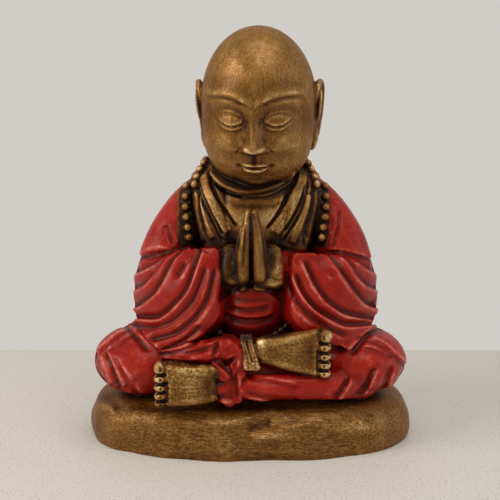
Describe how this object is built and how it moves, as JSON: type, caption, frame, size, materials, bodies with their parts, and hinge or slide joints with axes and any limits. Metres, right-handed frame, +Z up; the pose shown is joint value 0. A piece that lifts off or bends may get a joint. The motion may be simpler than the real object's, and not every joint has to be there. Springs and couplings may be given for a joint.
{
  "type": "seated monk statue",
  "caption": "Small cast figure of a seated monk with palms pressed together, in a pleated robe, cross-legged on a low boulder base.",
  "frame": {"origin": "centre of the object's box on the table, under the boulder", "axes": "+Z up, the figure faces -Y, +X to the right of a viewer who looks at its face"},
  "size_m": [0.1618, 0.093, 0.1999],
  "materials": {
    "painted_cast": "cast resin, hand painted: antique gold with a dark brown wash on the skin, vest and boulder, satin red with a dark wash on the robe"
  },
  "bodies": {
    "root": {"monk_statue": "painted_cast"}
  },
  "joints": []
}
